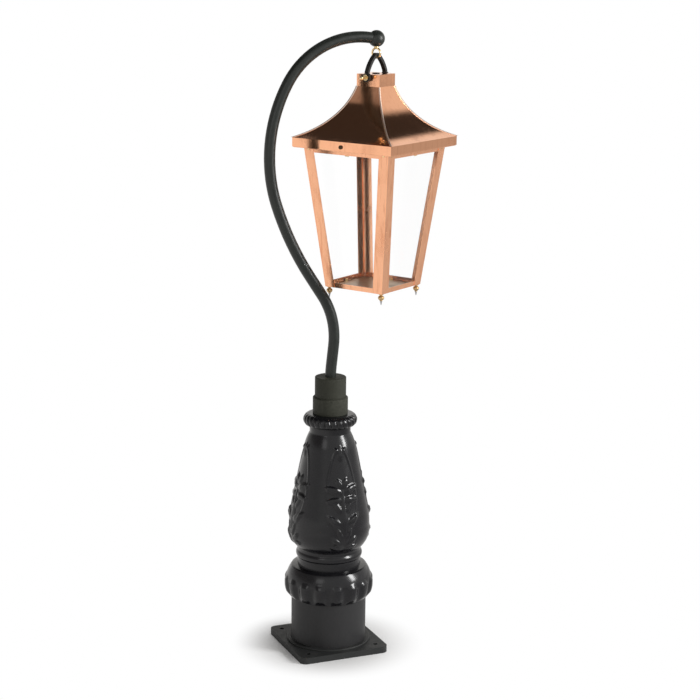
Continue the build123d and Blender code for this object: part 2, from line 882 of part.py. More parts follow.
def make_clips(low, high, cap):
    """Spring clips behind the middle of each pane; a cap reaches over the glass."""
    inset = 2 * sheet + glass_thick
    clip = cage_band(inset, sheet, low, high)
    if cap:
        clip += cage_band(2 * sheet, glass_thick + sheet, high, high + sheet)
    clip &= side_wedge(0, low, high + sheet, clip_width / 2)
    clips = []
    for turn in range(4):
        clips.append(Rot(0, 0, 90 * turn) * clip)
    return lantern_place * Compound(clips)


def make_lower_clips():
    low = cage_foot_z + sheet
    return make_clips(low, low + clip_height, False)


def make_upper_clips():
    return make_clips(glass_top_z - clip_height, glass_top_z, True)


def make_floor_plate():
    low = cage_foot_z + sheet
    inset = 3 * sheet + glass_thick + floor_gap
    return lantern_place * square_block(cage_foot_half - inset, low, low + sheet)


def screw_sites():
    """Places of the post screws, with local +Z along each one's head."""
    height = cage_top_z - frame_downstand / 3
    half = cage_half(height)
    sites = []
    for turn in range(4):
        for side in (1, -1):
            across = side * (half - post_flange / 2)
            site = Pos(half, across, height) * Rot(0, 90 + cage_lean, 0)
            sites.append(Rot(0, 0, 90 * turn) * site)
    return sites


def make_post_screws():
    screw = tube_piece(post_screw_d / 2, 0, -2 * sheet - post_screw_tail, 0)
    head = tube_piece(post_screw_head_d / 2, 0, 0, post_screw_head)
    screw += fillet(head.edges().group_by(Axis.Z)[-1], post_screw_head / 2)
    return lantern_place * Compound([site * screw for site in screw_sites()])


def make_finials():
    widest = finial_d / 2
    cap_r = widest * finial_cap_share
    groove_r = widest * finial_groove_share
    tail_r = widest * finial_tail_share
    groove_top = finial_cap + finial_groove
    bulb_top = groove_top + finial_groove
    bulb_foot = bulb_top + finial_bulb
    outline = [
        Polyline((0, 0), (cap_r, 0), (cap_r, -finial_cap), (groove_r, -groove_top), (groove_r, -bulb_top)),
        ThreePointArc(
            (groove_r, -bulb_top), (widest, -bulb_top - finial_bulb / 2), (tail_r, -bulb_foot)
        ),
        Polyline(
            (tail_r, -bulb_foot),
            (finial_tip_r, -finial_length + finial_tip_r),
            (0, -finial_length),
            (0, 0),
        ),
    ]
    drop = revolve(Plane.XZ * make_face(outline), Axis.Z)
    place = cage_foot_half - finial_inset
    drops = []
    for turn in range(4):
        drops.append(Rot(0, 0, 90 * turn) * Pos(place, place, cage_foot_z) * drop)
    return lantern_place * Compound(drops)


corner_names = ["back", "left", "front", "right"]
pane_names = ["right_back", "left_back", "left_front", "right_front"]

pieces = {
    "base_plate": make_base_plate,
    "base_drum": make_base_drum,
    "post_casting": make_post_casting,
    "post_bolts": make_post_bolts,
    "post_nuts": make_post_nuts,
    "arm_socket": make_arm_socket,
    "arm_screws": make_arm_screws,
    "neck_screws": make_neck_screws,
    "swan_neck": make_swan_neck,
    "arm_end_ball": make_arm_end_ball,
    "eye_bolt": make_eye_bolt,
    "eye_washer": make_eye_washer,
    "eye_nut": make_eye_nut,
    "bow": make_bow,
    "bow_pins": make_bow_pins,
    "bow_nuts": make_bow_nuts,
    "bow_spacers": make_bow_spacers,
    "roof_neck": make_roof_neck,
    "roof_skin": make_roof_skin,
    "hip_seams": make_hip_seams,
    "fascia": make_fascia,
    "cable_grommet": make_cable_grommet,
    "lamp_bracket": make_lamp_bracket,
    "lampholder": make_lampholder,
    "holder_nipple": make_holder_nipple,
    "holder_nut": make_holder_nut,
    "roof_hinge_leaf": make_roof_hinge_leaf,
    "hinge_pin": make_hinge_pin,
    "catch_screw": make_catch_screw,
    "cage_hinge_leaf": make_cage_hinge_leaf,
    "top_frame": make_top_frame,
    "bottom_frame": make_bottom_frame,
    "floor_plate": make_floor_plate,
    "lower_clips": make_lower_clips,
    "upper_clips": make_upper_clips,
    "post_screws": make_post_screws,
    "finials": make_finials,
}


def write(name, shape):
    export_step(shape, "parts/" + name + ".step")


os.makedirs("parts", exist_ok=True)
for name, make in pieces.items():
    write(name, make())
for turn, name in enumerate(corner_names):
    write("post_" + name, make_corner_post(turn))
for turn, name in enumerate(pane_names):
    write("glass_" + name, make_pane(turn))

print("hang point", round(hang_x, 2), "ball", round(ball_z, 2), "eye wire", round(eye_wire_z, 2))
print("bow pin", round(bow_pin_z, 2), "eave", round(eave_z, 2), "fascia foot", round(fascia_foot_z, 2))
print("hinge", round(hinge_x, 2), round(hinge_z, 2), "cage", round(cage_top_z, 2), round(cage_foot_z, 2))
print("catch", round(catch_z, 2), "socket top", round(socket_top_z, 2), "casting", casting_z)
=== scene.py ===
import json
from math import atan2, cos, exp, hypot, pi, radians, sin

import bpy
from mathutils import Matrix, Vector


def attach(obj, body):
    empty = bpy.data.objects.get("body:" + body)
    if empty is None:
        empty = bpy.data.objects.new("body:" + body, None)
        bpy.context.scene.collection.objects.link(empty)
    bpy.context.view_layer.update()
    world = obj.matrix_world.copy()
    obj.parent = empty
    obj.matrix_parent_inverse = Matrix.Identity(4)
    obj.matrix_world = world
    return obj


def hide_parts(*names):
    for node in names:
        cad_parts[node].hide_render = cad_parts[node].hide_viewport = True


# Swan neck lamp post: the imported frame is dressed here. Metres, +Z up, same frame as the CAD.
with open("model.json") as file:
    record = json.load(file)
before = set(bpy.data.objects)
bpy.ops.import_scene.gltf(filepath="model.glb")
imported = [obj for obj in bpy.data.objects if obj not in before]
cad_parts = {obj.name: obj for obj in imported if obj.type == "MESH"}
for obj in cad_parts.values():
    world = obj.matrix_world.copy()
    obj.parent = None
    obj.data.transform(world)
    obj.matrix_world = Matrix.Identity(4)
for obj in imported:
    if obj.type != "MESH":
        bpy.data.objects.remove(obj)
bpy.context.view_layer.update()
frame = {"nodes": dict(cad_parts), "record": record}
nodes = frame["nodes"]
mm = 0.001
sameRow = 0.02          # rows of a turned piece closer than this, in mm, count as one
print("frame loaded:", len(nodes), "nodes")


# modelling by hand
def clearSelection():
    if bpy.context.object and bpy.context.object.mode != "OBJECT":
        bpy.ops.object.mode_set(mode="OBJECT")
    bpy.ops.object.select_all(action="DESELECT")


def pick(obj):
    clearSelection()
    obj.select_set(True)
    bpy.context.view_layer.objects.active = obj


def freeze(obj):
    pick(obj)
    bpy.ops.object.transform_apply(location=True, rotation=True, scale=True)


def arcThrough(a, b, c, count):  # points on the circle through three (radius, height) points
    ax, ay, bx, by, cx, cy = *a, *b, *c
    d = 2 * (ax * (by - cy) + bx * (cy - ay) + cx * (ay - by))
    ux = ((ax**2 + ay**2) * (by - cy) + (bx**2 + by**2) * (cy - ay) + (cx**2 + cy**2) * (ay - by)) / d
    uy = ((ax**2 + ay**2) * (cx - bx) + (bx**2 + by**2) * (ax - cx) + (cx**2 + cy**2) * (bx - ax)) / d
    first, mid, last = (atan2(p[1] - uy, p[0] - ux) for p in (a, b, c))
    while mid < first:
        mid += 2 * pi
    while last < first:
        last += 2 * pi
    if not first < mid < last:
        last -= 2 * pi
    radius = hypot(ax - ux, ay - uy)
    return [(ux + radius * cos(first + (last - first) * i / count),
             uy + radius * sin(first + (last - first) * i / count)) for i in range(count + 1)]


def easeCurve(a, b, c, count):
    shares = [i / count for i in range(count + 1)]
    return [((1 - t)**2 * a[0] + 2 * t * (1 - t) * b[0] + t**2 * c[0],
             (1 - t)**2 * a[1] + 2 * t * (1 - t) * b[1] + t**2 * c[1]) for t in shares]


def straight(a, b, count):
    return [(a[0] + (b[0] - a[0]) * i / count, a[1] + (b[1] - a[1]) * i / count) for i in range(count + 1)]


# a ring is extruded and scaled row by row, as on a lathe; rows are (radius, height) in mm
def turned(name, rows, sides, closeEnds=True):
    rows = [p for i, p in enumerate(rows)
            if i == 0 or hypot(p[0] - rows[i - 1][0], p[1] - rows[i - 1][1]) > sameRow]
    clearSelection()
    radius, height = rows[0]
    bpy.ops.mesh.primitive_circle_add(vertices=sides, radius=radius * mm, location=(0, 0, height * mm))
    obj = bpy.context.object
    obj.name = obj.data.name = name
    freeze(obj)
    bpy.ops.object.mode_set(mode="EDIT")
    bpy.ops.mesh.select_all(action="SELECT")
    if closeEnds:
        bpy.ops.mesh.edge_face_add()
    for nextRadius, nextHeight in rows[1:]:
        bpy.ops.mesh.extrude_region_move(TRANSFORM_OT_translate={"value": (0, 0, (nextHeight - height) * mm)})
        share = nextRadius / radius
        bpy.ops.transform.resize(value=(share, share, 1), center_override=(0, 0, nextHeight * mm))
        radius, height = nextRadius, nextHeight
    bpy.ops.mesh.select_all(action="SELECT")
    bpy.ops.mesh.remove_doubles(threshold=0.00001)
    bpy.ops.mesh.normals_make_consistent(inside=False)
    bpy.ops.object.mode_set(mode="OBJECT")
    return obj


def smoothed(obj, degrees):
    pick(obj)
    bpy.ops.object.shade_smooth_by_angle(angle=radians(degrees))


def dress(obj, material, body, slotName, *stoodFor):
    freeze(obj)
    obj.data.materials.clear()
    obj.data.materials.append(material)
    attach(obj, body)
    if stoodFor:
        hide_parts(*stoodFor)


def joined(name, parts):
    clearSelection()
    for part in parts:
        part.select_set(True)
    bpy.context.view_layer.objects.active = parts[0]
    bpy.ops.object.join()
    parts[0].name = parts[0].data.name = name
    return parts[0]


def copied(obj, matrix):
    twin = obj.copy()
    twin.data = obj.data.copy()
    bpy.context.scene.collection.objects.link(twin)
    twin.data.transform(matrix)
    return twin


# where the lantern hangs, how far it is turned, and the foot of its cage, in mm
lantern = {"hangX": 136.99, "yaw": radians(32), "cageFoot": 1140.81, "cageFootHalf": 104}
lanternPlace = Matrix.Translation((lantern["hangX"] * mm, 0, 0)) @ Matrix.Rotation(lantern["yaw"], 4, "Z")


# shared effects
def newGroup(name, inputs, outputs):
    group = bpy.data.node_groups.new(name, "ShaderNodeTree")
    for label, value in inputs:
        socket = group.interface.new_socket(label, in_out="INPUT", socket_type="NodeSocketFloat")
        socket.default_value = value
    for label in outputs:
        group.interface.new_socket(label, in_out="OUTPUT", socket_type="NodeSocketFloat")
    return group, group.nodes.new("NodeGroupInput"), group.nodes.new("NodeGroupOutput")


def addMath(tree, operation, a, b=None, clamp=False):
    node = tree.nodes.new("ShaderNodeMath")
    node.operation, node.use_clamp = operation, clamp
    for index, value in enumerate((a, b)):
        if hasattr(value, "links"):
            tree.links.new(value, node.inputs[index])
        elif value is not None:
            node.inputs[index].default_value = value
    return node.outputs[0]


def addNoise(tree, place, scale, detail=4, rough=0.5):
    node = tree.nodes.new("ShaderNodeTexNoise")
    node.inputs["Detail"].default_value = detail
    node.inputs["Roughness"].default_value = rough
    tree.links.new(place, node.inputs["Vector"])
    if hasattr(scale, "links"):
        tree.links.new(scale, node.inputs["Scale"])
    else:
        node.inputs["Scale"].default_value = scale
    return node.outputs["Fac"]


def addRange(tree, value, low, high, toLow=0.0, toHigh=1.0):
    node = tree.nodes.new("ShaderNodeMapRange")
    node.interpolation_type = "SMOOTHSTEP"
    tree.links.new(value, node.inputs["Value"])
    for label, number in (("From Min", low), ("From Max", high), ("To Min", toLow), ("To Max", toHigh)):
        if hasattr(number, "links"):
            tree.links.new(number, node.inputs[label])
        else:
            node.inputs[label].default_value = number
    return node.outputs["Result"]


def addDot(tree, vector, other):
    dot = tree.nodes.new("ShaderNodeVectorMath")
    dot.operation = "DOT_PRODUCT"
    dot.inputs[1].default_value = other
    tree.links.new(vector, dot.inputs[0])
    return dot.outputs["Value"]


def makeGrain():  # fine paint or casting texture: a mask and a height
    group, given, result = newGroup("surfaceGrain", [("Scale", 300), ("Soft Scale", 40)], ["Mask", "Height"])
    place = group.nodes.new("ShaderNodeTexCoord").outputs["Object"]
    fine = addNoise(group, place, given.outputs["Scale"], detail=3)
    soft = addNoise(group, place, given.outputs["Soft Scale"], detail=2)
    group.links.new(addRange(group, soft, low=0.35, high=0.65), result.inputs["Mask"])
    fineShare = addMath(group, "MULTIPLY", fine, 0.4)
    group.links.new(addMath(group, "ADD", fineShare, soft), result.inputs["Height"])
    return group


def makePatina():  # cloudy tarnish with upright runs; on the frame copper the runs are partly painted dark reflection streaks
    group, given, result = newGroup("patina", [("Scale", 12), ("Low", 0.45), ("High", 0.7)], ["Mask", "Runs"])
    place = group.nodes.new("ShaderNodeTexCoord").outputs["Object"]
    cloud = addNoise(group, place, given.outputs["Scale"], detail=5, rough=0.6)
    stretch = group.nodes.new("ShaderNodeMapping")
    stretch.inputs["Scale"].default_value = (14, 14, 1.2)
    group.links.new(place, stretch.inputs["Vector"])
    runs = addNoise(group, stretch.outputs["Vector"], scale=8)
    covered = addRange(group, cloud, given.outputs["Low"], given.outputs["High"])
    group.links.new(covered, result.inputs["Mask"])
    group.links.new(addRange(group, runs, low=0.5, high=0.75), result.inputs["Runs"])
    return group


def makeEdgeWear():  # rubbed crests, from how sharply the surface turns
    group, given, result = newGroup("edgeWear", [("Start", 0.52), ("End", 0.6)], ["Crest"])
    bend = group.nodes.new("ShaderNodeNewGeometry").outputs["Pointiness"]
    place = group.nodes.new("ShaderNodeTexCoord").outputs["Object"]
    crest = addRange(group, bend, given.outputs["Start"], given.outputs["End"])
    broken = addRange(group, addNoise(group, place, scale=90), low=0.35, high=0.6)
    group.links.new(addMath(group, "MULTIPLY", crest, broken), result.inputs["Crest"])
    return group


def makeDust():  # pale dust that lies on what faces up
    group, given, result = newGroup("dust", [("Amount", 0.3)], ["Mask"])
    facing = group.nodes.new("ShaderNodeSeparateXYZ")
    group.links.new(group.nodes.new("ShaderNodeNewGeometry").outputs["Normal"], facing.inputs[0])
    place = group.nodes.new("ShaderNodeTexCoord").outputs["Object"]
    patch = addRange(group, addNoise(group, place, scale=25, detail=6, rough=0.6), low=0.4, high=0.75)
    up = addRange(group, facing.outputs["Z"], low=0.55, high=0.95)
    lying = addMath(group, "MULTIPLY", patch, up)
    group.links.new(addMath(group, "MULTIPLY", lying, given.outputs["Amount"]), result.inputs["Mask"])
    return group


grainGroup, patinaGroup, wearGroup, dustGroup = makeGrain(), makePatina(), makeEdgeWear(), makeDust()


def addGroup(tree, group, **values):
    node = tree.nodes.new("ShaderNodeGroup")
    node.node_tree = group
    for label, value in values.items():
        node.inputs[label.replace("_", " ")].default_value = value
    return node.outputs


def addBlend(tree, share, a, b):
    node = tree.nodes.new("ShaderNodeMix")
    node.data_type = "RGBA"
    tree.links.new(share, node.inputs[0])
    for index, colour in ((6, a), (7, b)):
        if hasattr(colour, "links"):
            tree.links.new(colour, node.inputs[index])
        else:
            node.inputs[index].default_value = (*colour, 1)
    return node.outputs[2]


def newMaterial(name):
    material = bpy.data.materials.new(name)
    material.use_nodes = True
    tree = material.node_tree
    return material, tree, tree.nodes["Principled BSDF"]


def addBump(tree, shader, height, strength, distance):
    bump = tree.nodes.new("ShaderNodeBump")
    bump.inputs["Strength"].default_value = strength
    bump.inputs["Distance"].default_value = distance
    tree.links.new(height, bump.inputs["Height"])
    tree.links.new(bump.outputs["Normal"], shader.inputs["Normal"])


# copper or brass sheet: cloudy colour, runs, faint rolling waves
def polishedMetal(name, bright, dull, rough, wave=0.35, cover=0.55, streaks=0.25, metal=1.0):
    material, tree, shader = newMaterial(name)
    patina = addGroup(tree, patinaGroup, Scale=9, Low=0.42, High=0.75)
    grain = addGroup(tree, grainGroup, Scale=220, Soft_Scale=7)
    stainAndStreaks = addMath(tree, "MULTIPLY", patina["Mask"], cover)
    stainAndStreaks = addMath(tree, "ADD", stainAndStreaks, addMath(tree, "MULTIPLY", patina["Runs"], streaks), clamp=True)
    tree.links.new(addBlend(tree, stainAndStreaks, bright, dull), shader.inputs["Base Color"])
    dulled = addRange(tree, patina["Mask"], 0, 1, toLow=rough, toHigh=rough + 0.14)
    tree.links.new(dulled, shader.inputs["Roughness"])
    shader.inputs["Metallic"].default_value = metal
    addBump(tree, shader, grain["Height"], strength=wave, distance=0.0006)
    return material


dustColour = (0.16, 0.155, 0.145)


# paint or glaze: orange peel, rubbed crests, dust where it faces up
def paintedMetal(name, colour, pale, rough, coat=0.0, grainScale=260, grainDepth=0.3, dust=0.1,
                 shine=0.3, rubbed=0.35):
    material, tree, shader = newMaterial(name)
    grain = addGroup(tree, grainGroup, Scale=grainScale, Soft_Scale=45)
    wear = addGroup(tree, wearGroup, Start=0.54, End=0.66)
    dusty = addGroup(tree, dustGroup, Amount=dust)
    base = addBlend(tree, addMath(tree, "MULTIPLY", grain["Mask"], 0.5), colour, pale)
    rubbedColour = [2.2 * part + 0.015 for part in pale]
    base = addBlend(tree, addMath(tree, "MULTIPLY", wear["Crest"], rubbed), base, rubbedColour)
    base = addBlend(tree, dusty["Mask"], base, dustColour)
    tree.links.new(base, shader.inputs["Base Color"])
    soft = addRange(tree, grain["Mask"], 0, 1, toLow=rough, toHigh=rough + 0.04)
    dustShare = addMath(tree, "MULTIPLY", dusty["Mask"], 0.5)
    tree.links.new(addMath(tree, "ADD", soft, dustShare, clamp=True), shader.inputs["Roughness"])
    shader.inputs["Specular IOR Level"].default_value = shine
    shader.inputs["Coat Weight"].default_value = coat
    shader.inputs["Coat Roughness"].default_value = 0.08
    addBump(tree, shader, grain["Height"], strength=grainDepth, distance=0.0004)
    return material


def clearGlass(name):
    material, tree, shader = newMaterial(name)
    streak = addGroup(tree, patinaGroup, Scale=6, Low=0.5, High=0.8)
    shader.inputs["Transmission Weight"].default_value = 1
    shader.inputs["IOR"].default_value = 1.16
    tint = addBlend(tree, streak["Mask"], (1.0, 1.0, 1.0), (0.985, 0.992, 0.99))
    tree.links.new(tint, shader.inputs["Base Color"])
    smeared = addRange(tree, streak["Runs"], 0, 1, toLow=0.0, toHigh=0.03)
    tree.links.new(smeared, shader.inputs["Roughness"])
    return material


finish = {
    "copperSheet": polishedMetal("copperSheet", (0.94, 0.48, 0.28), (0.78, 0.36, 0.20), 0.09,
                                 wave=0.25, cover=0.4, streaks=0.4),
    # frame copper: its strong dark upright runs are partly tarnish and partly painted dark reflection streaks
    "copperFrame": polishedMetal("copperFrame", (0.95, 0.49, 0.29), (0.78, 0.35, 0.19), 0.16,
                                 wave=0.9, cover=0.45, streaks=0.8, metal=0.86),
    # hip seams: pale pinkish colour, partly solder and partly a painted highlight along the hips
    "solderAndPaintedHighlight": polishedMetal("solderAndPaintedHighlight", (0.92, 0.74, 0.63), (0.85, 0.6, 0.48), 0.38),
    "darkBrass": polishedMetal("darkBrass", (0.10, 0.07, 0.04), (0.05, 0.035, 0.025), 0.4),
    "floorCopper": polishedMetal("floorCopper", (0.42, 0.30, 0.20), (0.24, 0.20, 0.13), 0.38),
    "brass": polishedMetal("brass", (0.83, 0.63, 0.34), (0.55, 0.38, 0.18), 0.2),
    "agedBrass": polishedMetal("agedBrass", (0.62, 0.42, 0.20), (0.30, 0.18, 0.10), 0.3),
    "eyeBrass": polishedMetal("eyeBrass", (0.85, 0.62, 0.32), (0.6, 0.42, 0.2), 0.18),
    "steel": polishedMetal("steel", (0.55, 0.55, 0.56), (0.35, 0.34, 0.33), 0.3),
    "castingGloss": paintedMetal("castingGloss", (0.005, 0.005, 0.0065), (0.008, 0.008, 0.0095), 0.2,
                                 coat=0.1, grainScale=160, dust=0.04, shine=0.35),
    "plateMatte": paintedMetal("plateMatte", (0.020, 0.021, 0.021), (0.024, 0.025, 0.025), 0.5,
                               grainDepth=0.1, rubbed=0.1),
    "drumMatte": paintedMetal("drumMatte", (0.021, 0.021, 0.022), (0.024, 0.024, 0.025), 0.48,
                              grainDepth=0.05, rubbed=0),
    "collarMatte": paintedMetal("collarMatte", (0.030, 0.031, 0.023), (0.038, 0.039, 0.030), 0.6,
                                dust=0.08, shine=0.2),
    "armSatin": paintedMetal("armSatin", (0.011, 0.014, 0.012), (0.017, 0.02, 0.017), 0.36,
                             dust=0.08, shine=0.4),
    "bowSatin": paintedMetal("bowSatin", (0.010, 0.010, 0.010), (0.018, 0.016, 0.014), 0.38, dust=0.08),
    "rubber": paintedMetal("rubber", (0.02, 0.02, 0.02), (0.03, 0.03, 0.03), 0.65),
    "glazedCream": paintedMetal("glazedCream", (0.78, 0.75, 0.66), (0.7, 0.66, 0.56), 0.25,
                                coat=0.5, dust=0.05),
    "glass": clearGlass("glass"),
}
slotFinish = {
    "ground_plate": "plateMatte", "drum_black": "drumMatte", "casting_black": "castingGloss",
    "collar_olive": "collarMatte", "arm_black": "armSatin", "bow_black": "bowSatin", "eye_brass": "eyeBrass",
    "copper_sheet": "copperSheet", "copper_frame": "copperFrame", "fitting_brass": "brass",
    "finial_brass": "brass", "steel_fixing": "steel", "clear_glass": "glass", "black_rubber": "rubber",
    "holder_cream": "glazedCream",
}
for row in frame["record"]["subparts"]:
    obj = nodes[row["node"]]
    obj.data.materials.clear()
    obj.data.materials.append(finish[slotFinish[row["material_slot"]]])
# three pieces look unlike the rest of their slot; the hip seams' pale pinkish colour is partly solder and
# partly a painted highlight
pieceFinish = {"floor_plate": "floorCopper", "hip_seams": "solderAndPaintedHighlight", "catch_screw": "darkBrass"}
for nodeName, finishName in pieceFinish.items():
    nodes[nodeName].data.materials[0] = finish[finishName]

# rounded edges: width in mm
softEdge = {
    "post_back": 0.8, "post_left": 0.8, "post_front": 0.8, "post_right": 0.8, "top_frame": 0.6,
    "bottom_frame": 0.6, "fascia": 0.4, "base_plate": 1.5, "arm_socket": 1.0, "lower_clips": 0.3,
    "upper_clips": 0.3,
}
for nodeName, width in softEdge.items():
    rounding = nodes[nodeName].modifiers.new("softEdge", "BEVEL")
    rounding.width, rounding.segments = width * mm, 2
    rounding.limit_method, rounding.angle_limit = "ANGLE", radians(50)
print("finishes made:", len(finish))

# pedestal casting: heights and depths in mm, turns in degrees
casting = {
    "sides": 320, "hollow": 50, "reachLimit": 139.4, "limitBelow": 300,
    "gadroonZone": (167.5, 262), "gadroonFoot": 167, "gadroonTop": 234, "gadroonArch": 12,
    "gadroonFade": 14, "gadroonReach": 5.5, "gadroonCut": 8, "gadroons": 16,
    "ropeZone": (713, 752), "ropeMid": 733, "ropeHalf": 20, "ropeCore": 64, "ropeBeads": 26,
    "ropeCut": 4.5, "ropeSlant": 0.055,
    "leafZone": (328, 668), "leafTurn": -90, "veinDepth": 0.28, "veinWide": 1.6, "leastWide": 0.5,
    "ribZone": (400, 662), "ribSpread": 26, "ribHigh": 2.2, "ribWide": 3.2, "ribFade": (25, 10),
}
# leaf blades: sideways start, height, lean from upright in degrees, length, half width, relief
blades = [
    (0, 338, 0, 215, 7.5, 4.6), (0, 380, 0, 110, 18, 3.4),                            # stem and middle leaf
    (0, 346, 76, 50, 9, 5.4), (0, 350, 48, 58, 10, 5.4), (0, 362, 22, 64, 9, 4.6),    # fan at the foot
    (2, 420, 56, 66, 12, 5.6), (3, 458, 34, 50, 9, 4.4),                              # side leaves
    (0, 504, 96, 56, 11, 5.8), (0, 522, 70, 60, 13, 6.2), (0, 536, 30, 38, 11, 5.6),  # crown
    (0, 618, 0, 50, 10, 4.2), (0, 640, 44, 28, 8, 4.0),                               # bud near the neck
]


def castingRows():
    return [
        *straight((45, 167), (119, 167), 1), *straight((119, 167), (123, 167), 1),
        *arcThrough((123, 167), (134, 203), (116.25, 264), 34),
        *straight((116.25, 264), (98.5, 267), 3), *straight((98.5, 267), (98.5, 293), 4),
        *arcThrough((98.5, 293), (103, 304), (98.5, 315), 10), *straight((98.5, 315), (98.5, 325), 3),
        *arcThrough((98.5, 325), (117.5, 350), (125, 400), 28),
        *easeCurve((125, 400), (125, 425), (119.5, 450), 16),
        *straight((119.5, 450), (80, 647), 66), *easeCurve((80, 647), (75.3, 670), (63, 693), 16),
        *straight((63, 693), (63, 713), 5), *arcThrough((63, 713), (83, 733), (63, 751), 22),
        *straight((63, 751), (38.2, 752), 2), *straight((38.2, 752), (38.2, 690), 2), (44.9, 180), (45, 167),
    ]


def leafRelief(across, height):
    best = 0.0
    for side in (1, -1):
        for start, foot, lean, length, half, relief in blades:
            u, v = side * across - start, height - foot
            along = u * sin(radians(lean)) + v * cos(radians(lean))
            off = u * cos(radians(lean)) - v * sin(radians(lean))
            t = along / length
            if 0 < t < 1:
                width = half * (sin(pi * (t * 0.9 + 0.1)) ** 0.7)
                share = 1 - (off / max(width, casting["leastWide"])) ** 2
                if share > 0:
                    vein = 1 - casting["veinDepth"] * exp(-(off / casting["veinWide"]) ** 2)
                    ends = min(1, 3 * t, 4 * (1 - t)) ** 0.8
                    best = max(best, relief * share ** 0.85 * vein * ends)
    return best


def gadroonRelief(angle, height):  # round lobes at the foot, arched at the top
    lobe = 0.5 - 0.5 * cos(casting["gadroons"] * angle)
    top = casting["gadroonTop"] - casting["gadroonArch"] * (1 - lobe) ** 2
    share = max(0.0, min(1.0, (top - height) / casting["gadroonFade"])) ** 0.8
    share *= min(1.0, (height - casting["gadroonFoot"]) / casting["gadroonFade"])
    return share * (casting["gadroonReach"] - casting["gadroonCut"] * (1 - lobe) ** 1.6)


def ropeCut(angle, height):  # slanting grooves between the beads of the rope ring
    above = height - casting["ropeMid"]
    wave = abs(sin(casting["ropeBeads"] / 2 * angle + above * casting["ropeSlant"]))
    bulge = max(0.0, 1 - (above / casting["ropeHalf"]) ** 2)
    return casting["ropeCut"] * (1 - wave) ** 2 * bulge


def ribRelief(quarter, radius, height):  # ribs that bound the petal panels
    low, high = casting["ribZone"]
    fadeLow, fadeHigh = casting["ribFade"]
    if height <= low:
        return 0
    spread = radians(casting["ribSpread"]) * sin(pi * min(1, (height - low) / (high - low))) ** 0.5
    off = (abs(quarter) - spread) * radius
    fade = min(1, (high - height) / fadeHigh, (height - low) / fadeLow)
    return max(0, fade) * casting["ribHigh"] * exp(-(off / casting["ribWide"]) ** 2)


def within(zone, height):
    return casting[zone][0] < height < casting[zone][1]


def carve(point):
    radius, angle, height = hypot(point.x, point.y) / mm, atan2(point.y, point.x), point.z / mm
    if radius < casting["hollow"]:
        return radius
    if within("gadroonZone", height):
        radius += gadroonRelief(angle, height)
    if within("ropeZone", height) and radius > casting["ropeCore"]:
        radius -= ropeCut(angle, height)
    if within("leafZone", height):
        quarter = (angle - radians(casting["leafTurn"]) + pi / 4) % (pi / 2) - pi / 4
        radius += leafRelief(quarter * radius, height)
        radius += ribRelief(quarter, radius, height)
    return min(radius, casting["reachLimit"]) if height < casting["limitBelow"] else radius


def makeCasting():
    obj = turned("pedestalCasting", castingRows(), casting["sides"], closeEnds=False)
    for vertex in obj.data.vertices:
        was = hypot(vertex.co.x, vertex.co.y)
        now = carve(vertex.co) * mm
        vertex.co.x *= now / was
        vertex.co.y *= now / was
    smoothed(obj, 50)
    dress(obj, finish["castingGloss"], "post", "casting_black", "post_casting")


makeCasting()
print("pedestal carved")

# finials under the cage: rows are (radius, height) in mm, from the top down
finial = {"sides": 40, "inset": 9, "spikeFrom": 21.5, "rows": [
    (0.01, 0), (6.6, 0), (7.3, -0.6), (7.3, -2.0), (6.8, -2.6), (4.2, -3.6), (3.8, -4.6), (4.1, -5.4),
    (5.2, -6.0), (7.4, -7.4), (9.0, -9.8), (9.45, -12.2), (9.0, -14.6), (7.6, -16.8), (5.8, -18.6),
    (4.4, -19.6), (3.9, -20.4), (4.3, -21.2), (4.0, -22.2), (3.2, -24.4), (2.4, -28.0), (1.7, -31.4),
    (1.0, -33.4), (0.01, -34)]}


def makeFinials():
    place = (lantern["cageFootHalf"] - finial["inset"]) * mm
    first = turned("finialDrops", finial["rows"], finial["sides"])
    smoothed(first, 40)
    parts = []
    for turn in range(4):
        spot = Matrix.Translation((place, place, lantern["cageFoot"] * mm))
        parts.append(copied(first, lanternPlace @ Matrix.Rotation(turn * pi / 2, 4, "Z") @ spot))
    bpy.data.objects.remove(first)
    drops = joined("finialDrops", parts)
    dress(drops, finish["agedBrass"], "cage", "finial_brass", "finials")
    drops.data.materials.append(finish["steel"])
    spikeTop = (lantern["cageFoot"] - finial["spikeFrom"]) * mm
    for face in drops.data.polygons:
        face.material_index = 1 if face.center.z < spikeTop else 0


makeFinials()
print("finials turned")

# stage: camera, floor, lights
view = {
    "place": (-2.133, -5.189, 2.260), "forward": (0.3898, 0.9209), "pitch": 13.15, "roll": 0.67,
    "lens": 97.2, "sensor": 36,
}
studio = {
    "right": (0.9209, -0.3898, 0), "away": (0.3898, 0.9209, 0), "up": (0, 0, 1), "white": (1, 1, 1),
    "floorRadius": 30, "floorDrop": 0.0005, "whiteFrom": (0.15, 0.31), "floorSides": (-2.0, 1.5),
    "leftFloor": (1.02, 1.0, 0.98), "rightFloor": (0.52, 0.51, 0.50),
    "backFrom": (0.77, 0.83), "backWall": (0.92, 0.9, 0.87), "leftFrom": (-0.2, -0.7),
    "rightWall": (0.85, 0.84, 0.82), "leftWall": (0.72, 0.71, 0.70), "leftUpper": (0.33, 0.31, 0.30),
    "leftDimFrom": (0.12, 0.30), "ceilingFrom": (0.57, 0.65), "ceilingTilt": 0.22,
    "ceiling": (0.04, 0.037, 0.035),
}
lamps = {
    "keyLamp": {"place": (3.2, -2.6, 2.4), "aim": (0, 0, 0.9), "size": (0.9, 2.0), "power": 165},
    "fillLamp": {"place": (-3.4, -3.0, 2.6), "aim": (0, 0, 1.0), "size": (1.6, 1.6), "power": 12},
    "topLamp": {"place": (0.4, 0.6, 4.2), "aim": (0, 0, 0.8), "size": (1.6, 1.6), "power": 30,
                "mirrored": False},
}


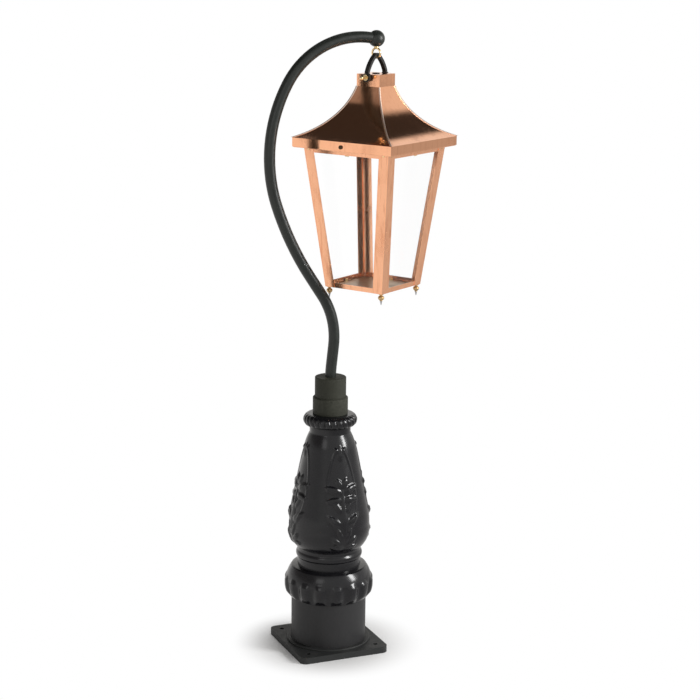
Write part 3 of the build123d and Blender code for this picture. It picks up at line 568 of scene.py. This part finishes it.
def makeCamera():
    camera = bpy.data.objects.new("camera", bpy.data.cameras.new("camera"))
    bpy.context.scene.collection.objects.link(camera)
    level = cos(radians(view["pitch"]))
    look = Vector((view["forward"][0] * level, view["forward"][1] * level, -sin(radians(view["pitch"]))))
    camera.rotation_mode = "QUATERNION"
    roll = Matrix.Rotation(radians(view["roll"]), 4, "Z").to_quaternion()
    camera.rotation_quaternion = look.to_track_quat("-Z", "Y") @ roll
    camera.location = view["place"]
    camera.data.lens = view["lens"]
    camera.data.sensor_width = view["sensor"]
    bpy.context.scene.camera = camera


def makeFloor():  # plain grey round the foot, glowing white farther out, darker to the right in mirrors
    clearSelection()
    bpy.ops.mesh.primitive_circle_add(vertices=96, radius=studio["floorRadius"], fill_type="NGON",
                                      location=(0, 0, 0))
    floor = bpy.context.object
    floor.name = "studioFloor"
    material, tree, shader = newMaterial("studioFloor")
    shader.inputs["Base Color"].default_value = (0.9, 0.9, 0.9, 1)
    shader.inputs["Roughness"].default_value = 0.9
    glow = tree.nodes.new("ShaderNodeEmission")
    path = tree.nodes.new("ShaderNodeLightPath")
    seen = addMath(tree, "MAXIMUM", path.outputs["Is Camera Ray"], path.outputs["Is Glossy Ray"])
    seen = addMath(tree, "MAXIMUM", seen, path.outputs["Is Transmission Ray"])
    place = tree.nodes.new("ShaderNodeTexCoord").outputs["Object"]
    length = tree.nodes.new("ShaderNodeVectorMath")
    length.operation = "LENGTH"
    tree.links.new(place, length.inputs[0])
    far = addRange(tree, length.outputs["Value"], *studio["whiteFrom"])
    sideways = addRange(tree, addDot(tree, place, studio["right"]), *studio["floorSides"])
    mirrored = addBlend(tree, sideways, studio["leftFloor"], studio["rightFloor"])
    direct = addMath(tree, "MAXIMUM", path.outputs["Is Camera Ray"], path.outputs["Is Transmission Ray"])
    tree.links.new(addBlend(tree, direct, mirrored, studio["white"]), glow.inputs["Color"])
    mix = tree.nodes.new("ShaderNodeMixShader")
    tree.links.new(addMath(tree, "MULTIPLY", far, seen), mix.inputs[0])
    tree.links.new(shader.outputs[0], mix.inputs[1])
    tree.links.new(glow.outputs[0], mix.inputs[2])
    tree.links.new(mix.outputs[0], tree.nodes["Material Output"].inputs["Surface"])
    floor.data.materials.append(material)
    floor.location.z = -studio["floorDrop"]


def makeWorld():  # white studio walls with a dim ceiling, the left wall dimmer above eye height
    world = bpy.data.worlds.new("studio")
    bpy.context.scene.world = world
    world.use_nodes = True
    tree = world.node_tree
    back = tree.nodes["Background"]
    toward = tree.nodes.new("ShaderNodeTexCoord").outputs["Generated"]
    height = addDot(tree, toward, studio["up"])
    away = addDot(tree, toward, studio["away"])
    tilt = addMath(tree, "MULTIPLY", away, studio["ceilingTilt"])
    ceiling = addRange(tree, addMath(tree, "ADD", height, tilt), *studio["ceilingFrom"])
    left = addRange(tree, addDot(tree, toward, studio["right"]), *studio["leftFrom"])
    upper = addMath(tree, "MULTIPLY", left, addRange(tree, height, *studio["leftDimFrom"]))
    wall = addBlend(tree, addRange(tree, left, 0, 1), studio["rightWall"], studio["leftWall"])
    wall = addBlend(tree, upper, wall, studio["leftUpper"])
    wall = addBlend(tree, ceiling, wall, studio["ceiling"])
    wall = addBlend(tree, addRange(tree, away, *studio["backFrom"]), wall, studio["backWall"])
    path = tree.nodes.new("ShaderNodeLightPath")
    seen = addMath(tree, "MAXIMUM", path.outputs["Is Camera Ray"], path.outputs["Is Transmission Ray"])
    tree.links.new(addBlend(tree, seen, wall, studio["white"]), back.inputs["Color"])
    back.inputs["Strength"].default_value = 1


def addLamp(name, place, aim, size, power, mirrored=True):
    lamp = bpy.data.objects.new(name, bpy.data.lights.new(name, "AREA"))
    bpy.context.scene.collection.objects.link(lamp)
    lamp.data.shape = "RECTANGLE"
    lamp.data.size, lamp.data.size_y = size
    lamp.data.energy = power
    lamp.visible_glossy = mirrored
    lamp.location = place
    lamp.rotation_euler = (Vector(aim) - Vector(place)).to_track_quat("-Z", "Y").to_euler()


bpy.context.scene.view_settings.view_transform = "Standard"
makeCamera()
makeFloor()
makeWorld()
for lampName, lampValues in lamps.items():
    addLamp(lampName, **lampValues)
print("stage set")
